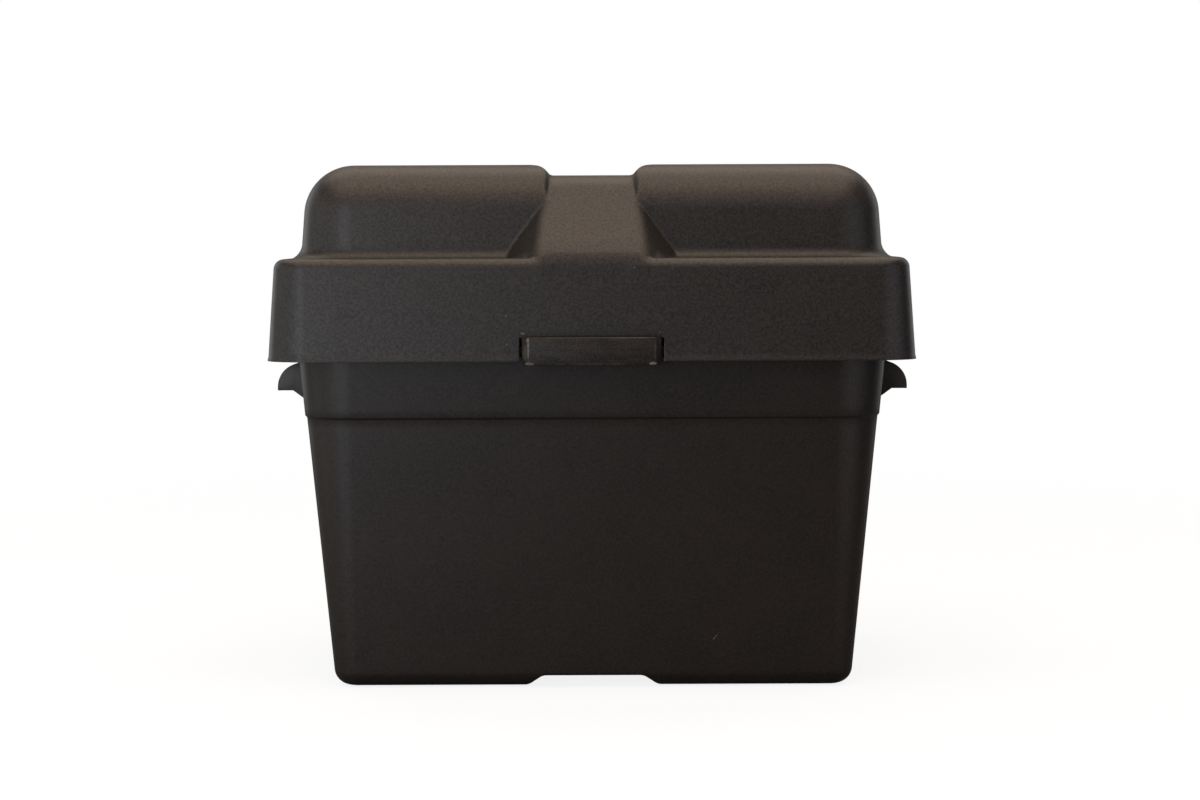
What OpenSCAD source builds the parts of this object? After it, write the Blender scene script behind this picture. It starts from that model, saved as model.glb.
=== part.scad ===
// Battery box: a moulded tub that holds one 12 V marine or caravan battery, and a
// deep-skirted lid that lifts off it. A snap latch at the middle of each long side
// hooks under the tub's rim. The lid has two raised domes that clear the battery's
// terminals, and between them a channel and two ramps that guide a tie-down strap.
// Millimetres. The origin is the middle of the underside, X runs along the box,
// -Y is the front and Z is up.

/* [Tub] */
// Outside length at the ground
tub_l = 280; // [250:1:340]
// Outside width at the ground
tub_w = 183; // [165:1:230]
// Height of the rim above the ground
rim_z = 185; // [165:1:210]
// Thickness of the walls
tub_wall = 2.8; // [2.2:0.1:3.6]
// Thickness of the floor
tub_floor = 3; // [2.4:0.1:5]
// Outward lean of the walls, in degrees
tub_draft = 5.5; // [2:0.1:6.5]
// Plan radius of the corners at the ground
tub_corner_r = 13; // [11:0.5:24]
// Radius between the underside and the walls
tub_edge_r = 9; // [5:0.5:10]
// Height of the step line round the walls
step_z = 147; // [130:1:152]
// How far the wall above the step line stands out
step_out = 0.9; // [0.4:0.1:1.6]

/* [Rim] */
// How far the rim flange stands out of the wall
flange_w = 8.6; // [8:0.1:14]
// Thickness of the rim flange
flange_t = 2.6; // [2:0.1:3.2]
// Plan radius of the flange's corners
flange_corner_r = 17; // [12:0.5:24]
// Depth of the flange's down-turned lip, its thickness included
lip_h = 5.6; // [4.6:0.1:6]

/* [Grips] */
// Length of each hooded finger grip
grip_w = 110; // [80:1:120]
// Outside radius of the hood
grip_r = 13.2; // [11:0.1:15]
// Wall of the hood and of its two end webs
grip_t = 2.8; // [2.2:0.1:3.2]
// How far the hood stands out of the wall
grip_reach = 15.6; // [14.5:0.1:18]
// Height of the hood's top
grip_z = 173.7; // [164:0.1:176]
// Straight lip below the hood's curve
grip_lip = 1.9; // [1:0.1:3]
// How far an end web runs down the wall below the lip
grip_web = 6.8; // [4:0.1:9]

/* [Cable outlets] */
// Width of each outlet in the end walls
outlet_w = 22; // [16:1:26]
// Depth of each outlet below the rim
outlet_h = 20; // [14:1:24]
// Distance of each outlet from the middle of the end wall
outlet_y = 72; // [71:1:76]

/* [Strap channel] */
// Width of the strap channel at its floor
strap_w = 45.8; // [38:0.1:52]
// Depth of the channel across the lid
strap_d = 5.9; // [4:0.1:7]
// Radius of the channel's shoulders
shoulder_r = 10; // [8:0.5:14]
// Slope of the front and rear ramps, in degrees from level
ramp_angle = 47; // [42:1:60]
// Width of each ramp at its foot
ramp_foot_w = 55; // [53:0.5:60]
// Sideways spread of each ramp's flank at its foot
flank_w = 21.3; // [12:0.1:26]
// Height of a flank's tip above the ledge
flank_h = 30.1; // [22:0.1:34]
// Depth of the channel under the tub
under_d = 6.4; // [3:0.1:7]
// Width of the channel under the tub, at its roof
under_w = 55; // [50:1:62]
// Width of the channel under the tub, at the ground
under_foot_w = 74; // [70:1:84]

/* [Lid] */
// Thickness of the lid's walls
lid_wall = 2.6; // [2:0.1:3]
// Gap between the rim flange and the inside of the skirt
lid_gap = 1; // [0.6:0.1:2]
// How far the skirt hangs below the rim
lid_overlap = 7.8; // [7:0.1:9]
// Height of the skirt
skirt_h = 53.7; // [46:0.1:60]
// Inward lean of the skirt, in degrees
skirt_draft = 4; // [2:0.1:5]
// Plan radius of the skirt's corners at its foot
skirt_corner_r = 22; // [19:0.5:28]
// Radius of the crest round the ledge
crest_r = 7; // [5:0.5:8]
// Depth of the gutter between the crest and the domes
gutter_d = 1; // [0.6:0.1:2]
// How far the bead stands out at the skirt's foot
bead = 0.7; // [0.3:0.1:1]

/* [Domes] */
// Height of the domes above the crest
dome_h = 50.6; // [44:0.1:56]
// Ledge from the skirt's foot to the dome at each end
end_ledge = 12.9; // [12:0.1:18]
// Ledge from the skirt's foot to the dome at the front and rear
side_ledge = 31.3; // [28:0.1:34]
// Inward lean of the dome's walls, in degrees
dome_draft = 4.5; // [2:0.1:6]
// Plan radius of the dome's corners at the ledge
dome_corner_r = 31; // [30:0.5:36]
// Radius between the dome's walls and its top
dome_top_r = 27.5; // [22:0.5:28]
// Radius of the fillet between the dome and the ledge
dome_foot_r = 10; // [6:0.5:12]

/* [Latch] */
// Width of the latch where it meets the skirt
latch_w = 72.6; // [70:0.1:84]
// Width of the latch's front face
latch_face_w = 66; // [60:0.1:68]
// Height of the latch
latch_h = 14.6; // [14.2:0.1:16]
// How far the latch hangs below the skirt
latch_drop = 1.9; // [1:0.1:2.4]
// How far the latch's face stands out of the skirt's foot
latch_out = 4.2; // [4:0.1:6]
// Gap between each end of the latch and the skirt
latch_side_gap = 1.5; // [1:0.1:3]
// Wall of the latch
latch_t = 2.2; // [1.8:0.1:2.4]
// Diameter of the latch's pivot pins
pin_d = 3.2; // [2.8:0.1:3.6]
// Gap all round a pivot pin
pin_gap = 0.05; // [0.03:0.01:0.1]
// Height of the pivot above the rim
pivot_up = 3.7; // [3.6:0.1:4.4]
// Distance of the pivot behind the skirt's inner face
pivot_in = 3; // [2.9:0.1:3.4]
// Reach of the hook under the rim's lip
hook_reach = 2.3; // [1.6:0.1:2.6]
// Gap between the hook and the lip
hook_gap = 0.3; // [0.2:0.1:0.6]

/* [Hidden] */
$fn = 96;
STEPS = 8;           // straight steps in a quarter round of a moulded profile
JOIN = 1;            // how deep a piece is rooted in what carries it
RIB_T = 2.2;         // thickness of stiffening ribs
FIT = 0.4;           // side gap between a latch's barrel and its bosses
plastic = [0.10, 0.10, 0.10];

// The tub's walls, measured from the middle of the box
tub_slope = tan(tub_draft);
tub_axis_x = tub_l / 2 - tub_corner_r;
tub_axis_y = tub_w / 2 - tub_corner_r;
function tub_lean(z) = tub_slope * z + (z >= step_z ? step_out : 0);
function tub_x(z) = tub_l / 2 + tub_lean(z);
function tub_y(z) = tub_w / 2 + tub_lean(z);

// The rim flange
flange_x = tub_x(rim_z) + flange_w;
flange_y = tub_y(rim_z) + flange_w;
lip_z = rim_z - lip_h;

// The lid's skirt, measured at its outer face above the bead
skirt_slope = tan(skirt_draft);
skirt_z = rim_z - lid_overlap;
crest_z = skirt_z + skirt_h;
ledge_z = crest_z - gutter_d;
skirt_out = lid_gap + lid_wall / cos(skirt_draft) + skirt_slope * lid_overlap;
skirt_x0 = flange_x + skirt_out;
skirt_y0 = flange_y + skirt_out;
skirt_axis_x = skirt_x0 - skirt_corner_r;
skirt_axis_y = skirt_y0 - skirt_corner_r;
function skirt_y(z) = skirt_y0 - skirt_slope * (z - skirt_z);
function skirt_x(z) = skirt_x0 - skirt_slope * (z - skirt_z);
crest_axis_z = crest_z - crest_r;
crest_in = crest_r / cos(skirt_draft);
crest_axis_y = skirt_y(crest_axis_z) - crest_in;

// The domes
dome_slope = tan(dome_draft);
dome_x = skirt_x0 - end_ledge;
dome_y = skirt_y0 - side_ledge;
dome_z = crest_z + dome_h;
dome_axis_x = dome_x - dome_corner_r;
dome_axis_y = dome_y - dome_corner_r;

// The strap channel across the lid
strap_z = dome_z - strap_d;
shoulder_x = strap_w / 2 + sqrt(pow(shoulder_r, 2) - pow(shoulder_r - strap_d, 2));
function ramp_y(z, inset) = crest_axis_y
    - ((z - crest_axis_z) * cos(ramp_angle) - (crest_r - inset)) / sin(ramp_angle);
function ramp_half(z) = strap_w / 2
    + (ramp_foot_w - strap_w) / 2 * (strap_z - z) / (strap_z - ledge_z);

// The latch
latch_z0 = skirt_z - latch_drop;
latch_z1 = latch_z0 + latch_h;
latch_y = skirt_y0 + latch_out;
pivot_z = rim_z + pivot_up;
pivot_y = skirt_y(pivot_z) - lid_wall / cos(skirt_draft) - pivot_in;
arm_half = latch_face_w / 2 - latch_t - 0.3;
opening_half = latch_w / 2 + latch_side_gap;
barrel_r = pin_d / 2 + 1;
boss_w = 6;
notch_z = latch_z1 - 0.4;
hook_z = lip_z - hook_gap;

// Points of an arc about [x, y] from angle a0 to angle a1
function arc(x, y, r, a0, a1, n = STEPS) =
    [for (i = [0:n]) let (a = a0 + (a1 - a0) * i / n) [x + r * cos(a), y + r * sin(a)]];

// A solid block with rounded corners in plan. The half section is a list of
// [distance out from the corner's axis, height], from the axis out and back to it.
// It turns about an axis at each corner and runs straight between them.
module rounded_block(axis_x, axis_y, section) {
    right = [for (p = section) [axis_x + p.x, p.y]];
    left = [for (i = [len(section) - 1:-1:0]) [-axis_x - section[i].x, section[i].y]];
    rotate([90, 0, 0]) linear_extrude(height = 2 * axis_y, center = true)
        polygon(concat(right, left));
    for (side = [0, 180])
        rotate([0, 0, side]) translate([0, axis_y, 0]) rotate([90, 0, 90])
            linear_extrude(height = 2 * axis_x, center = true) polygon(section);
    for (corner = [[1, 1, 0], [-1, 1, 90], [-1, -1, 180], [1, -1, 270]])
        translate([corner.x * axis_x, corner.y * axis_y, 0]) rotate([0, 0, corner.z])
            rotate_extrude(angle = 90) polygon(section);
}

// Does its children at both ends of the X axis
module both_ends() {
    children();
    rotate([0, 0, 180]) children();
}

// Outside of the tub's walls and floor, up to the underside of the flange
function tub_outside() = let (axis_r = tub_corner_r + tub_slope * tub_edge_r
    - tub_edge_r / cos(tub_draft), lean = step_out) concat(
        [[0, 0]],
        arc(axis_r, tub_edge_r, tub_edge_r, -90, -tub_draft),
        [[tub_corner_r + tub_slope * (step_z - lean), step_z - lean],
         [tub_corner_r + tub_lean(step_z), step_z],
         [tub_corner_r + tub_lean(rim_z), rim_z],
         [0, rim_z]]);

// Inside of the tub, open at the rim
function tub_inside() = let (r = tub_edge_r - tub_wall,
    foot_r = tub_corner_r - tub_wall / cos(tub_draft),
    axis_z = tub_floor + r,
    axis_r = foot_r + tub_slope * axis_z - r / cos(tub_draft)) concat(
        [[0, tub_floor]],
        arc(axis_r, axis_z, r, -90, -tub_draft),
        [[foot_r + tub_slope * rim_z, rim_z],
         [foot_r + tub_slope * rim_z, rim_z + JOIN],
         [0, rim_z + JOIN]]);

// The rim flange as a block, with the room under it inside the lip
module flange_block() {
    axis = [flange_x - flange_corner_r, flange_y - flange_corner_r];
    soft = 0.8;
    lip_r = flange_corner_r - flange_t;
    difference() {
        rounded_block(axis.x, axis.y, concat(
            [[0, lip_z], [flange_corner_r, lip_z]],
            arc(flange_corner_r - soft, rim_z - soft, soft, 0, 90, 3),
            [[0, rim_z]]));
        rounded_block(axis.x, axis.y,
            [[0, lip_z - JOIN], [lip_r, lip_z - JOIN],
             [lip_r, rim_z - flange_t], [0, rim_z - flange_t]]);
    }
}

// One hooded finger grip, on the +X end wall
module grip() {
    axis_x = tub_x(grip_z) + grip_reach - grip_r;
    axis_z = grip_z - grip_r;
    lip = axis_z - grip_lip;
    root_x = tub_x(lip) - JOIN;
    hood = concat([[root_x, grip_z]], arc(axis_x, axis_z, grip_r, 90, 0),
        [[axis_x + grip_r, lip]]);
    hood_inner = concat([[axis_x + grip_r - grip_t, lip]],
        arc(axis_x, axis_z, grip_r - grip_t, 0, 90), [[root_x, grip_z - grip_t]]);
    web = concat([[tub_x(lip - grip_web) - JOIN, grip_z]],
        arc(axis_x, axis_z, grip_r, 90, 0),
        [[axis_x + grip_r, lip], [axis_x + grip_r - 3 * grip_t, lip],
         [tub_x(lip - grip_web), lip - grip_web],
         [tub_x(lip - grip_web) - JOIN, lip - grip_web]]);
    rotate([90, 0, 0]) linear_extrude(height = grip_w, center = true)
        polygon(concat(hood, hood_inner));
    for (side = [-1, 1])
        translate([0, side * (grip_w - grip_t) / 2, 0]) rotate([90, 0, 0])
            linear_extrude(height = grip_t, center = true) polygon(web);
}

// Upright rib inside the tub that keeps the battery off the wall. It stands on the
// floor against the wall at y = 0, is as deep as reach and tapers to nothing.
module locating_rib(wall_x, reach, height) {
    foot = tub_floor - JOIN;
    rotate([90, 0, 0]) linear_extrude(height = RIB_T, center = true) polygon([
        [wall_x(foot) - tub_edge_r / 3, foot], [wall_x(tub_edge_r) + JOIN, tub_edge_r],
        [wall_x(height) + JOIN, height], [wall_x(height) - 0.5, height],
        [wall_x(foot) - reach, 3 * tub_edge_r], [wall_x(foot) - reach, foot]]);
}

module tub_ribs() {
    rib_h = 96;
    end_reach = 7;
    side_reach = 2;
    end_wall = function (z) tub_x(z) - tub_wall;
    side_wall = function (z) tub_y(z) - tub_wall;
    end_y = [-45, 45];
    side_x = [-90, 0, 90];
    both_ends() for (y = end_y)
        translate([0, y, 0]) locating_rib(end_wall, end_reach, rib_h);
    both_ends() rotate([0, 0, 90]) for (x = side_x)
        translate([0, x, 0]) locating_rib(side_wall, side_reach, rib_h);
}

// Rails on the floor, level with the roof of the strap channel, so the battery
// stands flat
module floor_rails() {
    rail_l = tub_w - 46;
    rail_x = [52, 76, 100, 122];
    for (side = [-1, 1], x = rail_x)
        translate([side * x - RIB_T / 2, -rail_l / 2, tub_floor - JOIN])
            cube([RIB_T, rail_l, under_d + JOIN]);
}

// The channel for a strap under the tub, grown by the floor for the hump over it
module under_channel(grow) {
    rotate([90, 0, 0]) linear_extrude(height = tub_w + 60, center = true)
        polygon([[-under_foot_w / 2 - grow, -JOIN], [under_foot_w / 2 + grow, -JOIN],
                 [under_w / 2 + grow, under_d + grow], [-under_w / 2 - grow, under_d + grow]]);
}

module tub() {
    color(plastic)
    difference() {
        union() {
            difference() {
                union() {
                    rounded_block(tub_axis_x, tub_axis_y, tub_outside());
                    flange_block();
                    both_ends() grip();
                }
                difference() {
                    rounded_block(tub_axis_x, tub_axis_y, tub_inside());
                    under_channel(tub_floor);
                }
            }
            tub_ribs();
            floor_rails();
        }
        under_channel(0);
        for (end = [-1, 1], side = [-1, 1])
            translate([end * tub_x(rim_z), side * outlet_y, rim_z - outlet_h + outlet_w / 2])
                cable_outlet();
    }
}

// A round-bottomed slot through the end wall and the rim flange above it
module cable_outlet() {
    run = 2 * (flange_w + tub_wall + 8);
    rotate([0, 90, 0]) cylinder(d = outlet_w, h = run, center = true);
    translate([-run / 2, -outlet_w / 2, 0]) cube([run, outlet_w, outlet_h]);
}

// Skirt, crest and ledge. inset 0 is the outside and lid_wall is the inside.
function skirt_section(inset) = let (
    foot_r = skirt_corner_r - inset / cos(skirt_draft),
    axis_r = skirt_corner_r - skirt_slope * (crest_axis_z - skirt_z) - crest_in,
    below = inset > 0 ? JOIN : 0,
    foot = inset > 0
        ? [[foot_r + skirt_slope * below, skirt_z - below]]
        : [[foot_r + bead, skirt_z], [foot_r + bead, skirt_z + 1],
           [foot_r - skirt_slope * 2, skirt_z + 2]]) concat(
        [[0, skirt_z - below]], foot,
        arc(axis_r, crest_axis_z, crest_r - inset, skirt_draft, 90),
        [[axis_r - 2, ledge_z - inset], [0, ledge_z - inset]]);

// A dome block with the fillet round its foot, sunk into the ledge by half a wall
function dome_section(inset) = let (
    sink = lid_wall / 2,
    top_axis_z = dome_z - dome_top_r,
    top_axis_r = dome_corner_r - dome_slope * (top_axis_z - ledge_z)
        - dome_top_r / cos(dome_draft),
    foot_axis_z = ledge_z + dome_foot_r,
    foot_axis_r = dome_corner_r - dome_slope * dome_foot_r + dome_foot_r / cos(dome_draft))
    concat(
        [[0, ledge_z - inset - sink], [foot_axis_r, ledge_z - inset - sink]],
        arc(foot_axis_r, foot_axis_z, dome_foot_r + inset, 270, 180 + dome_draft),
        arc(top_axis_r, top_axis_z, dome_top_r - inset, dome_draft, 90, 12),
        [[0, dome_z - inset]]);

// What the strap channel takes out of the domes, as [x, height above its floor].
// It is JOIN deeper than the floor, which strap_saddle fills again.
function channel_section(inset) = let (
    r = shoulder_r - inset,
    rise = shoulder_r - strap_d,
    floor_a = 180 - asin((rise - inset) / r),
    above = strap_d + 12,
    side = arc(shoulder_x, -rise, r, floor_a, 90),
    flip = [for (i = [len(side) - 1:-1:0]) [-side[i].x, side[i].y]]) concat(
        [[side[0].x, -inset - JOIN]], side,
        [[shoulder_x, above], [-shoulder_x, above]], flip,
        [[-side[0].x, -inset - JOIN]]);

module channel_cut(inset) {
    top_y = ramp_y(strap_z, 0);
    run = (strap_z - ledge_z) / sin(ramp_angle) + 2;
    spread = ramp_half(strap_z - run * sin(ramp_angle)) / ramp_half(strap_z);
    translate([0, 0, strap_z]) rotate([90, 0, 0])
        linear_extrude(height = 2 * (top_y + dome_top_r), center = true)
            polygon(channel_section(inset));
    for (side = [0, 180])
        rotate([0, 0, side]) translate([0, -top_y, strap_z]) rotate([ramp_angle + 90, 0, 0])
            linear_extrude(height = run, scale = [spread, 1], slices = 1)
                polygon(channel_section(inset));
}

// The floor of the channel with the ramp at each end of it
module strap_saddle(inset) {
    foot = [crest_axis_y + (crest_r - inset) * sin(ramp_angle),
            crest_axis_z + (crest_r - inset) * cos(ramp_angle)];
    top_y = ramp_y(strap_z - inset, inset);
    narrow = inset * 0.4;
    intersection() {
        rotate([90, 0, 90]) linear_extrude(height = 2 * ramp_foot_w, center = true)
            polygon([[-foot.x, crest_axis_z], [foot.x, crest_axis_z], foot,
                     [top_y, strap_z - inset], [-top_y, strap_z - inset],
                     [-foot.x, foot.y]]);
        rotate([90, 0, 0]) linear_extrude(height = 3 * dome_y, center = true)
            polygon([[-ramp_half(crest_axis_z) + 3 * narrow, crest_axis_z - JOIN],
                     [ramp_half(crest_axis_z) - 3 * narrow, crest_axis_z - JOIN],
                     [ramp_half(strap_z) - narrow, strap_z + JOIN],
                     [-ramp_half(strap_z) + narrow, strap_z + JOIN]]);
    }
}

// One slanted flank between a ramp's edge and the dome beside it, moulded solid
module flank() {
    low = [ramp_half(ledge_z), -ramp_y(ledge_z, 0), ledge_z];
    wide = [ramp_half(ledge_z) + flank_w, -dome_y - 1, ledge_z];
    tip_z = ledge_z + flank_h;
    tip = [ramp_half(tip_z), -ramp_y(tip_z, 0), tip_z];
    back = [low.x - 1.5, -dome_y + 1, ledge_z];
    base = ledge_z - lid_wall / 2;
    under = [for (p = [low, wide, back]) [p.x, p.y, base]];
    polyhedron(concat(under, [low, wide, back, tip]),
        [[0, 1, 2], [1, 0, 3, 4], [2, 1, 4, 5], [0, 2, 5, 3],
         [4, 3, 6], [5, 4, 6], [3, 5, 6]]);
}

// The domes as one block. The fillet round its foot stops where it meets the crest,
// a little way down the crest's round.
module dome_block(inset) {
    meet_angle = 21;
    reach_x = crest_axis_y + skirt_x0 - skirt_y0 + crest_r * sin(meet_angle);
    axis_r = reach_x - skirt_axis_x;
    intersection() {
        rounded_block(dome_axis_x, dome_axis_y, dome_section(inset));
        rounded_block(skirt_axis_x, skirt_axis_y,
            [[0, skirt_z], [axis_r, skirt_z], [axis_r, dome_z], [0, dome_z]]);
    }
}

// The lid as a solid, with every outer surface moved in by inset
module lid_form(inset) {
    rounded_block(skirt_axis_x, skirt_axis_y, skirt_section(inset));
    difference() {
        dome_block(inset);
        channel_cut(inset);
    }
    strap_saddle(inset);
}

// Upright fin under the ledge, on the +Y side, that rests on the rim flange
module seat_rib(wall_y, edge_y) {
    crest_y = wall_y(crest_axis_z) - crest_in;
    mid = lid_wall / 2;
    rotate([90, 0, 90]) linear_extrude(height = RIB_T, center = true) polygon([
        [wall_y(rim_z) - JOIN, rim_z], [wall_y(crest_axis_z) - JOIN, crest_axis_z],
        [crest_y, crest_z - mid], [crest_y - 2, ledge_z - mid],
        [edge_y - tub_wall, ledge_z - mid], [edge_y, rim_z + 12], [edge_y, rim_z]]);
}

module seat_ribs() {
    side_x = [-125, -65, 65, 125];
    end_y = [-85, -30, 30, 85];
    both_ends() for (x = side_x)
        translate([x, 0, 0]) seat_rib(function (z) skirt_y(z), tub_y(rim_z));
    both_ends() rotate([0, 0, -90]) for (y = end_y)
        translate([y, 0, 0]) seat_rib(function (z) skirt_x(z), tub_x(rim_z));
}

// The two bosses that hold a latch's pins, and the opening between them
module latch_boss(side) {
    inner = pivot_y - barrel_r - 0.6;
    outer = skirt_y(pivot_z) - JOIN;
    low = rim_z + 0.6;
    translate([side > 0 ? opening_half : -opening_half - boss_w, -outer, low])
        cube([boss_w, outer - inner, 2 * (pivot_z - low)]);
}

module latch_opening() {
    translate([-opening_half, -latch_y, skirt_z - JOIN])
        cube([2 * opening_half, latch_y - pivot_y, notch_z - skirt_z + JOIN]);
}

module lid() {
    color(plastic)
    difference() {
        union() {
            difference() {
                union() {
                    lid_form(0);
                    both_ends() {
                        flank();
                        mirror([1, 0, 0]) flank();
                    }
                }
                lid_form(lid_wall);
            }
            seat_ribs();
            both_ends() for (side = [-1, 1]) latch_boss(side);
        }
        both_ends() {
            latch_opening();
            translate([0, -pivot_y, pivot_z]) rotate([0, 90, 0])
                cylinder(d = pin_d + 2 * pin_gap, h = 4 * (opening_half + boss_w), center = true);
        }
    }
}

// A latch for the front: a cap over the opening, an arm through it with the pivot
// pins, and a hook that catches under the rim's lip
module latch() {
    web_z = notch_z - 4.2;
    web_t = 2.4;
    arm_y = -flange_y - 0.8;
    hook_y = -flange_y + hook_reach;
    hook_t = 1.2;
    difference() {
        latch_cap();
        latch_pocket();
    }
    rotate([90, 0, 90]) linear_extrude(height = 2 * arm_half, center = true) {
        polygon([[-latch_y + JOIN, web_z - web_t / 2], [-pivot_y, pivot_z - barrel_r],
                 [-pivot_y, pivot_z], [-latch_y + JOIN, web_z + web_t / 2]]);
        polygon([[arm_y - latch_t, web_z + web_t / 2], [arm_y - latch_t, latch_z0],
                 [arm_y, latch_z0], [hook_y, hook_z - hook_t], [hook_y, hook_z],
                 [arm_y, hook_z], [arm_y, web_z + web_t / 2]]);
    }
    translate([0, -pivot_y, pivot_z]) rotate([0, 90, 0]) {
        cylinder(r = barrel_r, h = 2 * (opening_half - FIT), center = true);
        cylinder(d = pin_d, h = 2 * (opening_half + boss_w - 1), center = true);
    }
}

// The cap's outside, with splayed ends. Its back follows the skirt and its bead.
module latch_cap() {
    gap = 0.3;
    top_gap = 1.1;
    soft = 1;
    bead_z = skirt_z + 2.4;
    intersection() {
        translate([0, 0, latch_z0]) linear_extrude(height = latch_h)
            polygon([[-latch_w / 2, -skirt_y0 - bead], [-latch_w / 2, -skirt_y0 + 3],
                     [latch_w / 2, -skirt_y0 + 3], [latch_w / 2, -skirt_y0 - bead],
                     [latch_face_w / 2, -latch_y], [-latch_face_w / 2, -latch_y]]);
        rotate([90, 0, 90]) linear_extrude(height = 2 * latch_w, center = true)
            polygon(concat([[-skirt_y0 - bead - gap, latch_z0],
                [-skirt_y0 - bead - gap, skirt_z + 1.2], [-skirt_y(bead_z) - gap, bead_z],
                [-skirt_y(latch_z1 - 3) - gap, latch_z1 - 3],
                [-skirt_y(latch_z1) - top_gap, latch_z1]],
                arc(-latch_y + soft, latch_z1 - soft, soft, 90, 180, 3),
                arc(-latch_y + soft, latch_z0 + soft, soft, 180, 270, 3)));
    }
}

// The finger hollow inside the cap, open at the back and below
module latch_pocket() {
    half = latch_face_w / 2 - latch_t;
    translate([-half, latch_t - latch_y, latch_z0 - JOIN])
        cube([2 * half, 2 * latch_t + latch_out, latch_h - latch_t + JOIN]);
}

module front_latch() { color(plastic) latch(); }
module rear_latch() { color(plastic) rotate([0, 0, 180]) latch(); }

tub();
lid();
front_latch();
rear_latch();
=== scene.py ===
"""Looks of a moulded battery box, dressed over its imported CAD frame.

The tub, the lid and the two snap latches are modelled here as thin mouldings with
soft edges, and each stands for one CAD node. Sizes are in millimetres until a piece
is finished, and then in metres.
"""

import math

import bmesh
import bpy
from bpy.props import FloatProperty, FloatVectorProperty, PointerProperty
from mathutils import Matrix, Vector


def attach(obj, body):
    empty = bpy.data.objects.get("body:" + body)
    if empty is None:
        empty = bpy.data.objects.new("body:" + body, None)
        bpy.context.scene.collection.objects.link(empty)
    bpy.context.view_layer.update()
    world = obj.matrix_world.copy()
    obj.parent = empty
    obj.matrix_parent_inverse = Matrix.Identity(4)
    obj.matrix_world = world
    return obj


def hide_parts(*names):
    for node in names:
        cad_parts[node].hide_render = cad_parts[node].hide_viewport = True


bl_info = {
    "name": "Battery Box",
    "version": (1, 0, 0),
    "blender": (4, 5, 0),
    "location": "3D View > Sidebar > Battery Box",
    "description": "Builds a moulded battery box with a lift-off lid and snap latches",
    "category": "Object",
}

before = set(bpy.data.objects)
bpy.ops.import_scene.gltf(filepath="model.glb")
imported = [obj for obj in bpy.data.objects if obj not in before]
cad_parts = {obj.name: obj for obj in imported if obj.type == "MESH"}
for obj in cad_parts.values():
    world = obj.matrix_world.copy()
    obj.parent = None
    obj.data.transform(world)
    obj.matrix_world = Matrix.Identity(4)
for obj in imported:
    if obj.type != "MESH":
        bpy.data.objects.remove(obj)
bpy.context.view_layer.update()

MM = 0.001  # metres in a millimetre

# --- The tub, in millimetres ------------------------------------------------
# Sizes and places that end in X, Y or HALF are measured from the middle of the box.
TUB_X, TUB_Y = 140.0, 91.5  # outside of the walls at the ground
TUB_DRAFT = 5.5  # outward lean of the walls, in degrees
TUB_SLOPE = math.tan(math.radians(TUB_DRAFT))
TUB_CORNER = 13.0  # plan radius of the corners at the ground
TUB_EDGE = 9.0  # radius between the underside and the walls
TUB_WALL, TUB_FLOOR = 2.8, 3.0  # thickness of each
RIM_Z = 185.0
STEP_Z, STEP_OUT = 147.0, 0.9  # top of the step line, and how far it stands out
FLANGE_W, FLANGE_T, FLANGE_CORNER = 8.6, 2.6, 17.0
FLANGE_EDGE = 0.8  # rounding of the flange's top edge
LIP_H = 5.6  # depth of the flange's lip, its thickness included
FLANGE_X, FLANGE_Y = (half + TUB_SLOPE * RIM_Z + STEP_OUT + FLANGE_W
                      for half in (TUB_X, TUB_Y))
UNDER_D = 6.4  # depth of the strap channel underneath
UNDER_HALF, UNDER_FOOT_HALF = 27.5, 37.0  # at its roof and at the ground
UNDER_ROUND = 1.6  # rounding of its edges
GRIP_Z, GRIP_R, GRIP_T = 173.7, 13.2, 2.8  # top, radius and wall
GRIP_REACH, GRIP_HALF = 15.6, 55.0
GRIP_LIP, GRIP_WEB = 1.9, 6.8  # straight below the curve, and the end webs below it
GRIP_ROOT = 1.5  # how deep a grip is rooted in the wall
OUTLET_Y, OUTLET_R, OUTLET_DEPTH = 72.0, 11.0, 20.0  # slots for the cables
RIB_T = 2.2  # thickness of every rib, rail and fin
RIB_ROOT = 0.6  # how deep a rib is rooted in the tub
RIB_LOW, RIB_BEND, RIB_TOP = 12.0, 27.0, 96.0  # heights of a tub rib's corners
RAIL_X, RAIL_HALF = (52, 76, 100, 122), TUB_Y - 23.0
RAIL_EDGE = 0.8  # chamfer along a rail's top

# Heights of the level lines that only share out a straight wall
LOWER_WALL = (11.0, 16.0, 24.0, 36.0, 50.0, 66.0, 82.0, 98.0, 114.0, 130.0, 141.0)
UPPER_WALL = (151.0, 158.0, 165.0, 172.0, 178.0)
INNER_WALL = (RIM_Z - 0.4, 160.0, 130.0, 100.0, 70.0, 40.0, 20.0)
# The step line's curve: how far below its top, and the share of its reach
STEP_CURVE = ((1.5, 0.0), (1.1, 0.12), (0.75, 0.5), (0.4, 0.88), (0.0, 1.0))

# --- The lid, in millimetres ------------------------------------------------
LID_WALL = 2.6
LID_GAP = 1.0  # between the rim flange and the skirt
LID_OVERLAP = 7.8  # how far the skirt hangs below the rim
SKIRT_H = 53.7
SKIRT_DRAFT = 4.0  # inward lean of the skirt, in degrees
SKIRT_SLOPE = math.tan(math.radians(SKIRT_DRAFT))
SKIRT_COS = math.cos(math.radians(SKIRT_DRAFT))
SKIRT_OUT = LID_GAP + LID_WALL / SKIRT_COS + SKIRT_SLOPE * LID_OVERLAP
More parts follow.
